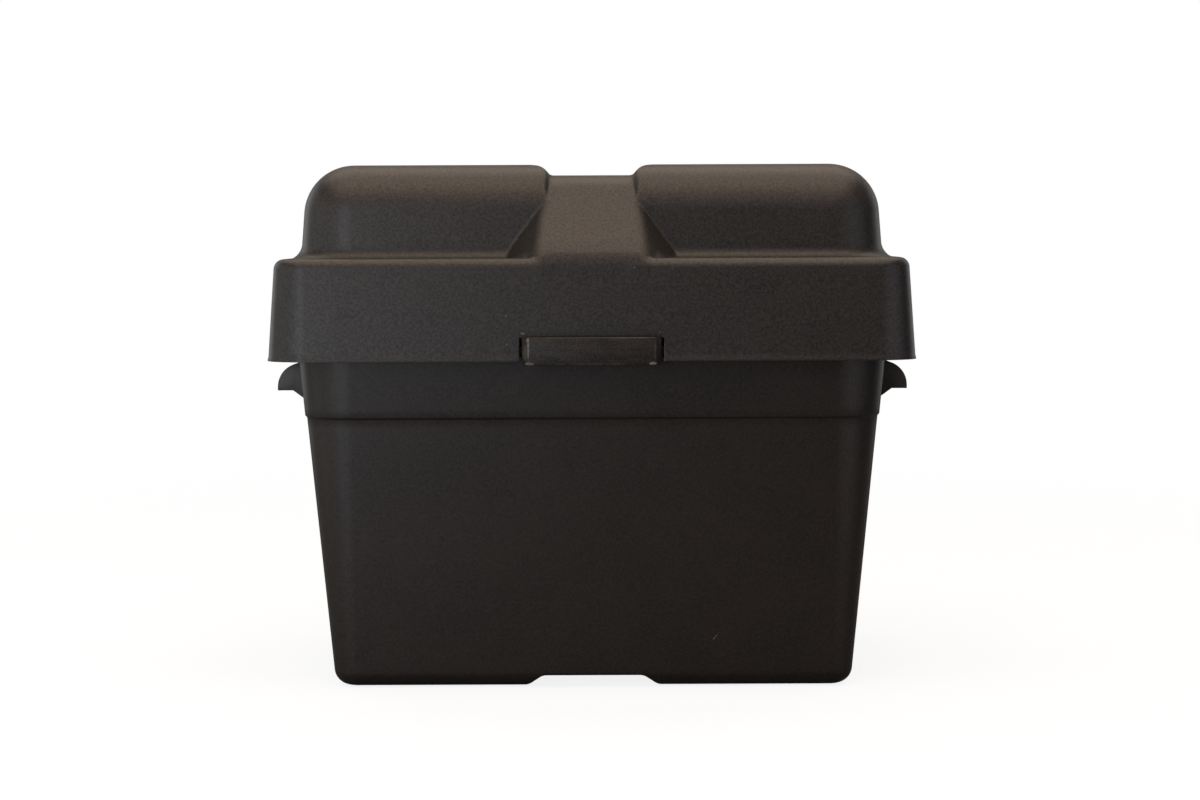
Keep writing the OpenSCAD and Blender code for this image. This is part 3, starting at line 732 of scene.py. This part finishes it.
def build_latch(material, name, node, degrees):
    """A latch at the front or, turned half round, at the rear: its hollow cap, the web to
    its barrel, the arm with its hook, and the barrel on its pins"""
    hollow = bmesh.new()
    front, below, roof = LATCH_T - LATCH_Y, LATCH_Z0 - 1, LATCH_Z1 - LATCH_T
    back, half = front + LATCH_HOLLOW, LATCH_FACE_HALF - LATCH_T
    prism(hollow, [(front, below), (back, below), (back, roof), (front, roof)], -half, half)
    bm = cut_away(latch_block(), [hollow])

    web_y, web_z = 1 - LATCH_Y, NOTCH_Z - WEB_DROP
    prism(bm, [(web_y, web_z - WEB_T), (-PIVOT_Y, PIVOT_Z - BARREL_R), (-PIVOT_Y, PIVOT_Z),
               (web_y, web_z)], -ARM_HALF, ARM_HALF)
    arm_y, hook_y = -(FLANGE_Y + ARM_GAP), HOOK_REACH - FLANGE_Y
    hook_z = RIM_Z - LIP_H - HOOK_GAP
    prism(bm, [(arm_y - LATCH_T, web_z), (arm_y - LATCH_T, LATCH_Z0), (arm_y, LATCH_Z0),
               (hook_y, hook_z - HOOK_T), (hook_y, hook_z), (arm_y, hook_z),
               (arm_y, web_z)], -ARM_HALF, ARM_HALF)
    for radius, reach in ((BARREL_R, NOTCH_HALF - 0.4), (PIN_R, NOTCH_HALF + 5.0)):
        prism(bm, arc((-PIVOT_Y, PIVOT_Z), radius, 0, 345, 23), -reach, reach)
    turn(bm, bm.verts[:], degrees)
    finish_piece(bm, name, material, node, sharp_angle=30.0)


# --- Finishes ---------------------------------------------------------------
class Field:
    """A value in a material's nodes that takes part in Python arithmetic"""

    def __init__(self, nodes, socket):
        self.nodes, self.socket = nodes, socket

    def __add__(self, other):
        return self.nodes.maths("ADD", self, other)

    __radd__ = __add__

    def __sub__(self, other):
        return self.nodes.maths("SUBTRACT", self, other)

    def __rsub__(self, other):
        return self.nodes.maths("SUBTRACT", other, self)

    def __mul__(self, other):
        return self.nodes.maths("MULTIPLY", self, other)

    __rmul__ = __mul__


class Nodes:
    """The nodes of a new material or world"""

    def __init__(self, owner):
        owner.use_nodes = True
        self.owner, self.tree = owner, owner.node_tree
        self.tree.nodes.clear()

    def node(self, kind, settings=None, inputs=None, output=0):
        """Adds a node, with its settings set first and then its sockets"""
        made = self.tree.nodes.new(kind)
        for name, value in (settings or {}).items():
            setattr(made, name, value)
        for name, value in (inputs or {}).items():
            if isinstance(value, Field):
                self.tree.links.new(value.socket, made.inputs[name])
            else:
                made.inputs[name].default_value = value
        return Field(self, made.outputs[output]) if made.outputs else None

    def maths(self, operation, a, b):
        return self.node("ShaderNodeMath", {"operation": operation}, {0: a, 1: b})


class Paint(Nodes):
    """Builds the nodes of one material around a Principled shader"""

    def __init__(self, name):
        super().__init__(bpy.data.materials.new(name))
        self.place = self.node("ShaderNodeTexCoord", output="Object")

    def noise(self, scale, detail, roughness=0.5, stretch=(1, 1, 1), shift=(0, 0, 0)):
        """Soft random values round 0.5, in waves per metre"""
        place = self.node("ShaderNodeMapping", None, {
            "Vector": self.place, "Scale": stretch, "Location": shift})
        return self.node("ShaderNodeTexNoise", {"noise_dimensions": "3D"}, {
            "Vector": place, "Scale": scale, "Detail": detail, "Roughness": roughness})

    def cells(self, scale, output):
        """Distance from the middle of the nearest of many cells, or that cell's colour"""
        return self.node("ShaderNodeTexVoronoi", {"feature": "F1"}, {
            "Vector": self.place, "Scale": scale, "Randomness": 1.0}, output)

    def step(self, value, low, high):
        """0 at low, 1 at high, smooth between"""
        return self.node("ShaderNodeMapRange", {"interpolation_type": "SMOOTHSTEP"}, {
            "Value": value, "From Min": low, "From Max": high, "To Min": 0.0, "To Max": 1.0})

    def blend(self, factor, a, b):
        """Mixes two colours; the Mix node's colour sockets are its 6 and 7, and 2 comes out"""
        return self.node("ShaderNodeMix", {"data_type": "RGBA"}, {0: factor, 6: a, 7: b}, 2)

    def along(self, axis):
        """A coordinate on the object, in metres"""
        return self.node("ShaderNodeSeparateXYZ", None, {"Vector": self.place}, axis)

    def scuffs_and_highlights(self, marks):
        """1 on the scuffs and painted highlights and 0 between them, each an ellipse that fades
        to its edge
        """
        x, z = self.along(0), self.along(2)
        total = None
        for place_x, place_z, half_length, half_height, degrees, strength in marks:
            c, s = math.cos(math.radians(degrees)), math.sin(math.radians(degrees))
            right, up = x - place_x * MM, z - place_z * MM
            length = (right * c + up * s) * (1 / (half_length * MM))
            height = (up * c - right * s) * (1 / (half_height * MM))
            here = self.step(length * length + height * height, 1.0, 0.25) * strength
            total = self.maths("MAXIMUM", total, here) if total else here
        return total

    def bump(self, height, strength, distance, under=None):
        """A bump of a depth in metres, over another one where that is given"""
        inputs = {"Height": height, "Strength": strength, "Distance": distance}
        if under:
            inputs["Normal"] = under
        return self.node("ShaderNodeBump", None, inputs)

    def finish(self, inputs):
        """Ends the material with the shader and its sockets"""
        shader = self.node("ShaderNodeBsdfPrincipled", None, inputs)
        self.node("ShaderNodeOutputMaterial", None, {"Surface": shader})
        return self.owner

    def plastic(self, colour, roughness, normal, coat, coat_roughness):
        """Ends a plastic: a weak shine of its own, under a coat that carries the grain"""
        return self.finish({
            "Base Color": colour, "Roughness": roughness, "Normal": normal, "IOR": 1.49,
            "Specular IOR Level": 0.2, "Coat Weight": coat, "Coat Roughness": coat_roughness,
            "Coat IOR": 1.49})


# Scuffs and painted highlights: the place (x, z), half length, half height, turn in degrees,
# strength. They are measured in millimetres on the front and show on the rear as well.
SCUFF_AND_HIGHLIGHT_COLOUR = (0.16, 0.14, 0.11, 1.0)
TUB_MARKS = ((65.9, 27.7, 3.2, 0.35, 50, 0.5),)
LID_MARKS = ((-44.4, 186.1, 0.7, 0.6, 0, 0.5), (-44.9, 200.4, 1.6, 0.45, 70, 0.45),
             (-36.2, 191.8, 1.5, 0.5, -8, 0.8), (35.9, 192.4, 0.8, 0.6, 30, 0.4),
             (22.3, 226.0, 1.4, 0.35, 15, 0.3), (42.1, 225.6, 0.9, 0.4, 75, 0.3))
# On the latch the pale spots at the bottom corners are scuffs, and a faint pale strip runs along
# the bottom edge. The stripes down the upright edges, stronger on the left, and the line along
# the right half of the top are painted highlights.
LATCH_SCUFFS_AND_HIGHLIGHTS = ((-32.3, 176.1, 2.8, 1.1, 0, 1.0), (31.9, 176.2, 2.4, 1.0, 0, 0.85),
               (-33.1, 183.6, 5.6, 0.9, 90, 0.35), (-33.2, 188.4, 1.5, 0.8, 90, 0.6),
               (33.2, 183.0, 5.6, 0.7, 90, 0.1), (0.0, 175.8, 30.0, 0.6, 0, 0.14),
               (19.0, 189.5, 15.0, 0.5, 0, 0.1), (-34.8, 181.5, 5.0, 1.2, 90, 0.15))

# Scales of the patterns, in waves or cells per metre
GRAIN_FINE, GRAIN_COARSE, FLOW_MARKS, SPECKS = 1900.0, 820.0, 26.0, 46.0
LATCH_GRAIN, LATCH_PATCHES, LATCH_DRAG = 1100.0, 240.0, 160.0


def tint(colour, factor=1.0):
    """A colour for a socket, made lighter or darker by a factor"""
    return tuple(min(c * factor, 1.0) for c in colour[:3]) + (1.0,)


def moulded_plastic(name, colour, seed, depth, marks):
    """Black plastic from a spark-eroded mould: fine grain as deep as depth, faint flow
    marks, a few pale flecks where it was rubbed, and the scuffs listed in marks"""
    paint = Paint(name)
    shift = (seed, seed * 0.7, seed * 1.3)
    fine = paint.noise(GRAIN_FINE, 1.0, shift=shift)
    coarse = paint.noise(GRAIN_COARSE, 1.0, shift=shift)
    flow = paint.noise(FLOW_MARKS, 3.0, 0.6, shift=shift)
    grain = fine * 0.3 + coarse * 0.7

    # A fleck lies in the few cells whose own random colour is high
    cell = paint.node("ShaderNodeSeparateColor", None, {"Color": paint.cells(SPECKS, "Color")})
    edge = paint.cells(SPECKS, "Distance") + (fine - 0.5) * 0.06
    fleck = paint.step(edge, 0.03, 0.012) * paint.step(cell, 0.86, 0.9)
    scuff = paint.scuffs_and_highlights(marks) * paint.step(fine + coarse, 0.8, 1.1)

    tone = paint.blend(paint.step(flow, 0.35, 0.65), tint(colour, 0.85), tint(colour, 1.15))
    tone = paint.blend(paint.step(grain, 0.38, 0.62) * (0.5 * depth), tone, tint(colour, 2.6))
    tone = paint.blend(fleck * 0.5, tone, tint(colour, 6.0))
    tone = paint.blend(scuff, tone, SCUFF_AND_HIGHLIGHT_COLOUR)
    roughness = 0.45 + (flow - 0.5) * 0.05 + (grain - 0.5) * (0.15 * depth)
    normal = paint.bump(grain, 0.12 * depth, 0.3 * MM)
    normal = paint.bump(flow, 0.06, 0.6 * MM, normal)
    coat = 0.28 + (grain - 0.5) * (0.75 * depth)
    return paint.plastic(tone, roughness, normal, coat, 0.45)


def latch_plastic(name, colour, marks):
    """Smoother plastic, dragged at by fingers and rubbed pale at its corners, with painted
    highlights down its upright edges and along its top
    """
    paint = Paint(name)
    fine = paint.noise(LATCH_GRAIN, 2.0, 0.6)
    patch = paint.noise(LATCH_PATCHES, 3.0, 0.6)
    drag = paint.noise(LATCH_DRAG, 3.0, 0.6, stretch=(0.5, 1.0, 2.2))
    # Scuffs at the corners and painted highlights along the edges, both in the pale colour
    rub_and_highlight = paint.scuffs_and_highlights(marks) * paint.step(patch * 0.6 + fine * 0.4, 0.36, 0.56)
    tone = paint.blend(paint.step(drag, 0.4, 0.65), tint(colour), tint(colour, 1.8))
    tone = paint.blend(paint.step(fine, 0.45, 0.7) * 0.5, tone, tint(colour, 2.2))
    tone = paint.blend(rub_and_highlight, tone, SCUFF_AND_HIGHLIGHT_COLOUR)
    roughness = 0.4 + (drag - 0.5) * 0.15 + rub_and_highlight * 0.2
    normal = paint.bump(fine * 0.5 + drag * 0.5, 0.3, 0.3 * MM)
    coat = 0.15 + (fine - 0.5) * 1.2 + rub_and_highlight * 0.2
    return paint.plastic(tone, roughness, normal, coat, 0.42)


# --- Sizes and colours that a user would change -----------------------------
class BatteryBoxSizes(bpy.types.PropertyGroup):
    lid_wall: FloatProperty(
        name="Lid wall", description="Thickness of the lid's wall", default=LID_WALL * MM,
        min=0.0015, max=0.004, unit="LENGTH", subtype="DISTANCE")
    bead: FloatProperty(
        name="Skirt bead", description="How far the bead at the skirt's foot stands out",
        default=BEAD * MM, min=0.0, max=0.001, unit="LENGTH", subtype="DISTANCE")


class BatteryBoxColours(bpy.types.PropertyGroup):
    tub: FloatVectorProperty(
        name="Tub", description="Base colour of the tub's plastic", subtype="COLOR",
        size=3, min=0.0, max=1.0, default=(0.0066, 0.0040, 0.0027))
    lid: FloatVectorProperty(
        name="Lid", description="Base colour of the lid's plastic", subtype="COLOR",
        size=3, min=0.0, max=1.0, default=(0.0060, 0.0048, 0.0042))
    latch: FloatVectorProperty(
        name="Latch", description="Base colour of the latches' plastic", subtype="COLOR",
        size=3, min=0.0, max=1.0, default=(0.0075, 0.0056, 0.0046))


# --- One operator for each piece, and one for the stage ---------------------
class BATTERY_BOX_OT_tub(bpy.types.Operator):
    """Build the tub with its rim, finger grips, ribs and cable outlets"""
    bl_idname = "battery_box.tub"
    bl_label = "Tub"

    def execute(self, context):
        colour = context.scene.battery_box_colours.tub
        build_tub(moulded_plastic("tub_plastic", colour, seed=3.0, depth=0.6,
                                  marks=TUB_MARKS))
        return {"FINISHED"}


class BATTERY_BOX_OT_lid(bpy.types.Operator):
    """Build the lid with its domes, strap channel, ramps, ribs and latch bosses"""
    bl_idname = "battery_box.lid"
    bl_label = "Lid"

    def execute(self, context):
        colour = context.scene.battery_box_colours.lid
        build_lid(moulded_plastic("lid_plastic", colour, seed=11.0, depth=1.0,
                                  marks=LID_MARKS),
                  context.scene.battery_box_sizes)
        return {"FINISHED"}


class BATTERY_BOX_OT_latches(bpy.types.Operator):
    """Build the front and rear snap latches with their pins and hooks"""
    bl_idname = "battery_box.latches"
    bl_label = "Snap latches"

    def execute(self, context):
        colour = context.scene.battery_box_colours.latch
        plastic = latch_plastic("latch_plastic", colour, LATCH_SCUFFS_AND_HIGHLIGHTS)
        build_latch(plastic, "front_latch_moulding", "front_latch", 0)
        build_latch(plastic, "rear_latch_moulding", "rear_latch", 180)
        return {"FINISHED"}


# --- The stage, in metres ---------------------------------------------------
FLOOR_REACH, FLOOR_DROP = 1.4, 0.0004
FLOOR_COLOUR, FLOOR_SHOWS = (0.82, 0.88, 0.95), 0.14
ROOM_COLOUR, ROOM_STRENGTH = (0.8, 0.9, 1, 1), 0.02
WHITE = (1, 1, 1, 1)
CAMERA_PLACE = (0.0045, -1.323, 0.234)
CAMERA_DOWN, CAMERA_ROLL = 3.67, 0.22  # in degrees
CAMERA_LENS, CAMERA_SENSOR = 69.2, 36.0  # in millimetres

# Each light: name, place, what it faces, size, watts and colour
LIGHTS = (
    ("ceiling_back", (0, 0.65, 1.7), (0, 0, 0.2), (2.6, 1.1), 24.0, (1.0, 0.83, 0.69)),
    ("ceiling_front", (0, -0.52, 1.6), (0, 0, 0.2), (2.6, 1.0), 31.0, (1.0, 0.79, 0.62)),
    ("front_high", (0, -1.6, 1.3), (0, 0, 0.2), (1.6, 0.6), 5.9, (1.0, 0.84, 0.80)),
    ("backdrop", (0, 1.6, 1.1), (0, 0, 0.25), (2.4, 0.8), 2.4, (1.0, 0.9, 0.8)),
    ("window", (-0.5, -1.1, 0.42), (-0.1, -0.1, 0.2), (0.25, 0.5), 2.75, (0.98, 0.98, 1.0)),
    ("window_low", (-0.55, -0.98, 0.1), (-0.1, -0.1, 0.1), (0.75, 0.3), 3.4,
     (0.85, 0.92, 1.0)),
    ("left_fill", (-1.05, -0.35, 0.32), (-0.1, -0.1, 0.15), (1.1, 0.9), 4.2,
     (1.0, 0.98, 0.96)),
    ("left_back", (-1.0, 0.8, 0.4), (-0.1, 0, 0.15), (0.6, 0.8), 2.2, (1.0, 1.0, 1.0)),
    ("right_back", (1.0, 0.9, 0.4), (0.1, 0, 0.15), (0.6, 0.8), 1.6, (1.0, 1.0, 1.0)),
    ("right_fill", (1.0, -0.6, 0.4), (0, -0.1, 0.15), (1.0, 0.8), 1.9,
     (0.86, 0.92, 1.0)),
    ("right_low", (0.8, -0.8, 0.1), (0.1, -0.1, 0.08), (0.75, 0.3), 1.3,
     (1.0, 0.92, 0.88)),
)


def floor_paper():
    """Pale paper that fades out towards its edge, so no horizon shows"""
    paint = Paint("floor_paper")
    cloud = paint.noise(3.0, 2.0)
    tone = paint.blend(cloud, tint(FLOOR_COLOUR, 0.99), tint(FLOOR_COLOUR))
    reach = paint.node("ShaderNodeVectorMath", {"operation": "LENGTH"}, {0: paint.place}, "Value")
    there = paint.step(reach, FLOOR_REACH, FLOOR_REACH * 0.15) * FLOOR_SHOWS
    return paint.finish({"Base Color": tone, "Roughness": 0.8 + cloud * 0.05,
                         "Specular IOR Level": 0.2, "Alpha": there})


def lay_floor(scene):
    """A round sheet of the paper, just under the box"""
    bm = bmesh.new()
    bmesh.ops.create_circle(bm, cap_ends=True, segments=96, radius=FLOOR_REACH)
    bmesh.ops.translate(bm, verts=bm.verts[:], vec=(0, 0, -FLOOR_DROP))
    mesh = bpy.data.meshes.new("floor")
    bm.to_mesh(mesh)
    bm.free()
    mesh.materials.append(floor_paper())
    floor = bpy.data.objects.new("floor", mesh)
    scene.collection.objects.link(floor)


def make_room(scene):
    """A dim room that the camera sees as white"""
    scene.world = bpy.data.worlds.new("room")
    nodes = Nodes(scene.world)
    felt = nodes.node("ShaderNodeBackground", None,
                      {"Color": ROOM_COLOUR, "Strength": ROOM_STRENGTH})
    seen = nodes.node("ShaderNodeBackground", None, {"Color": WHITE})
    from_camera = nodes.node("ShaderNodeLightPath", output="Is Camera Ray")
    room = nodes.node("ShaderNodeMixShader", None, {0: from_camera, 1: felt, 2: seen})
    nodes.node("ShaderNodeOutputWorld", None, {"Surface": room})


def soft_light(scene, name, place, aim, size, watts, colour):
    """A flat lamp that faces a point"""
    light = bpy.data.lights.new(name, "AREA")
    light.shape, light.size, light.size_y = "RECTANGLE", size[0], size[1]
    light.energy, light.color = watts, colour
    lamp = bpy.data.objects.new(name, light)
    lamp.location = place
    lamp.rotation_euler = (Vector(aim) - Vector(place)).to_track_quat("-Z", "Y").to_euler()
    scene.collection.objects.link(lamp)


def set_camera(scene):
    """A camera in front of the box, looking slightly down"""
    camera = bpy.data.cameras.new("camera")
    camera.lens, camera.sensor_width = CAMERA_LENS, CAMERA_SENSOR
    viewer = bpy.data.objects.new("camera", camera)
    viewer.location = CAMERA_PLACE
    viewer.rotation_euler = (math.radians(90 - CAMERA_DOWN), math.radians(CAMERA_ROLL), 0)
    scene.collection.objects.link(viewer)
    scene.camera = viewer


class BATTERY_BOX_OT_stage(bpy.types.Operator):
    """Set the pale floor, the soft lights and the camera"""
    bl_idname = "battery_box.stage"
    bl_label = "Floor, lights and camera"

    def execute(self, context):
        scene = context.scene
        lay_floor(scene)
        make_room(scene)
        for light in LIGHTS:
            soft_light(scene, *light)
        scene.view_settings.view_transform = "Standard"
        set_camera(scene)
        return {"FINISHED"}


class BATTERY_BOX_PT_panel(bpy.types.Panel):
    """Lists the sizes, the colours and the pieces to build"""
    bl_label = "Battery Box"
    bl_idname = "BATTERY_BOX_PT_panel"
    bl_space_type = "VIEW_3D"
    bl_region_type = "UI"
    bl_category = "Battery Box"

    def draw(self, context):
        layout = self.layout
        for name in ("lid_wall", "bead"):
            layout.prop(context.scene.battery_box_sizes, name)
        for name in ("tub", "lid", "latch"):
            layout.prop(context.scene.battery_box_colours, name)
        for operator in OPERATORS:
            layout.operator(operator.bl_idname)


OPERATORS = (BATTERY_BOX_OT_tub, BATTERY_BOX_OT_lid, BATTERY_BOX_OT_latches,
             BATTERY_BOX_OT_stage)
CLASSES = (BatteryBoxSizes, BatteryBoxColours, BATTERY_BOX_PT_panel) + OPERATORS


def register():
    for cls in CLASSES:
        bpy.utils.register_class(cls)
    bpy.types.Scene.battery_box_sizes = PointerProperty(type=BatteryBoxSizes)
    bpy.types.Scene.battery_box_colours = PointerProperty(type=BatteryBoxColours)


def unregister():
    del bpy.types.Scene.battery_box_colours
    del bpy.types.Scene.battery_box_sizes
    for cls in reversed(CLASSES):
        bpy.utils.unregister_class(cls)


def main():
    register()
    bpy.ops.battery_box.tub()
    bpy.ops.battery_box.lid()
    bpy.ops.battery_box.latches()
    bpy.ops.battery_box.stage()


if __name__ == "__main__":
    main()
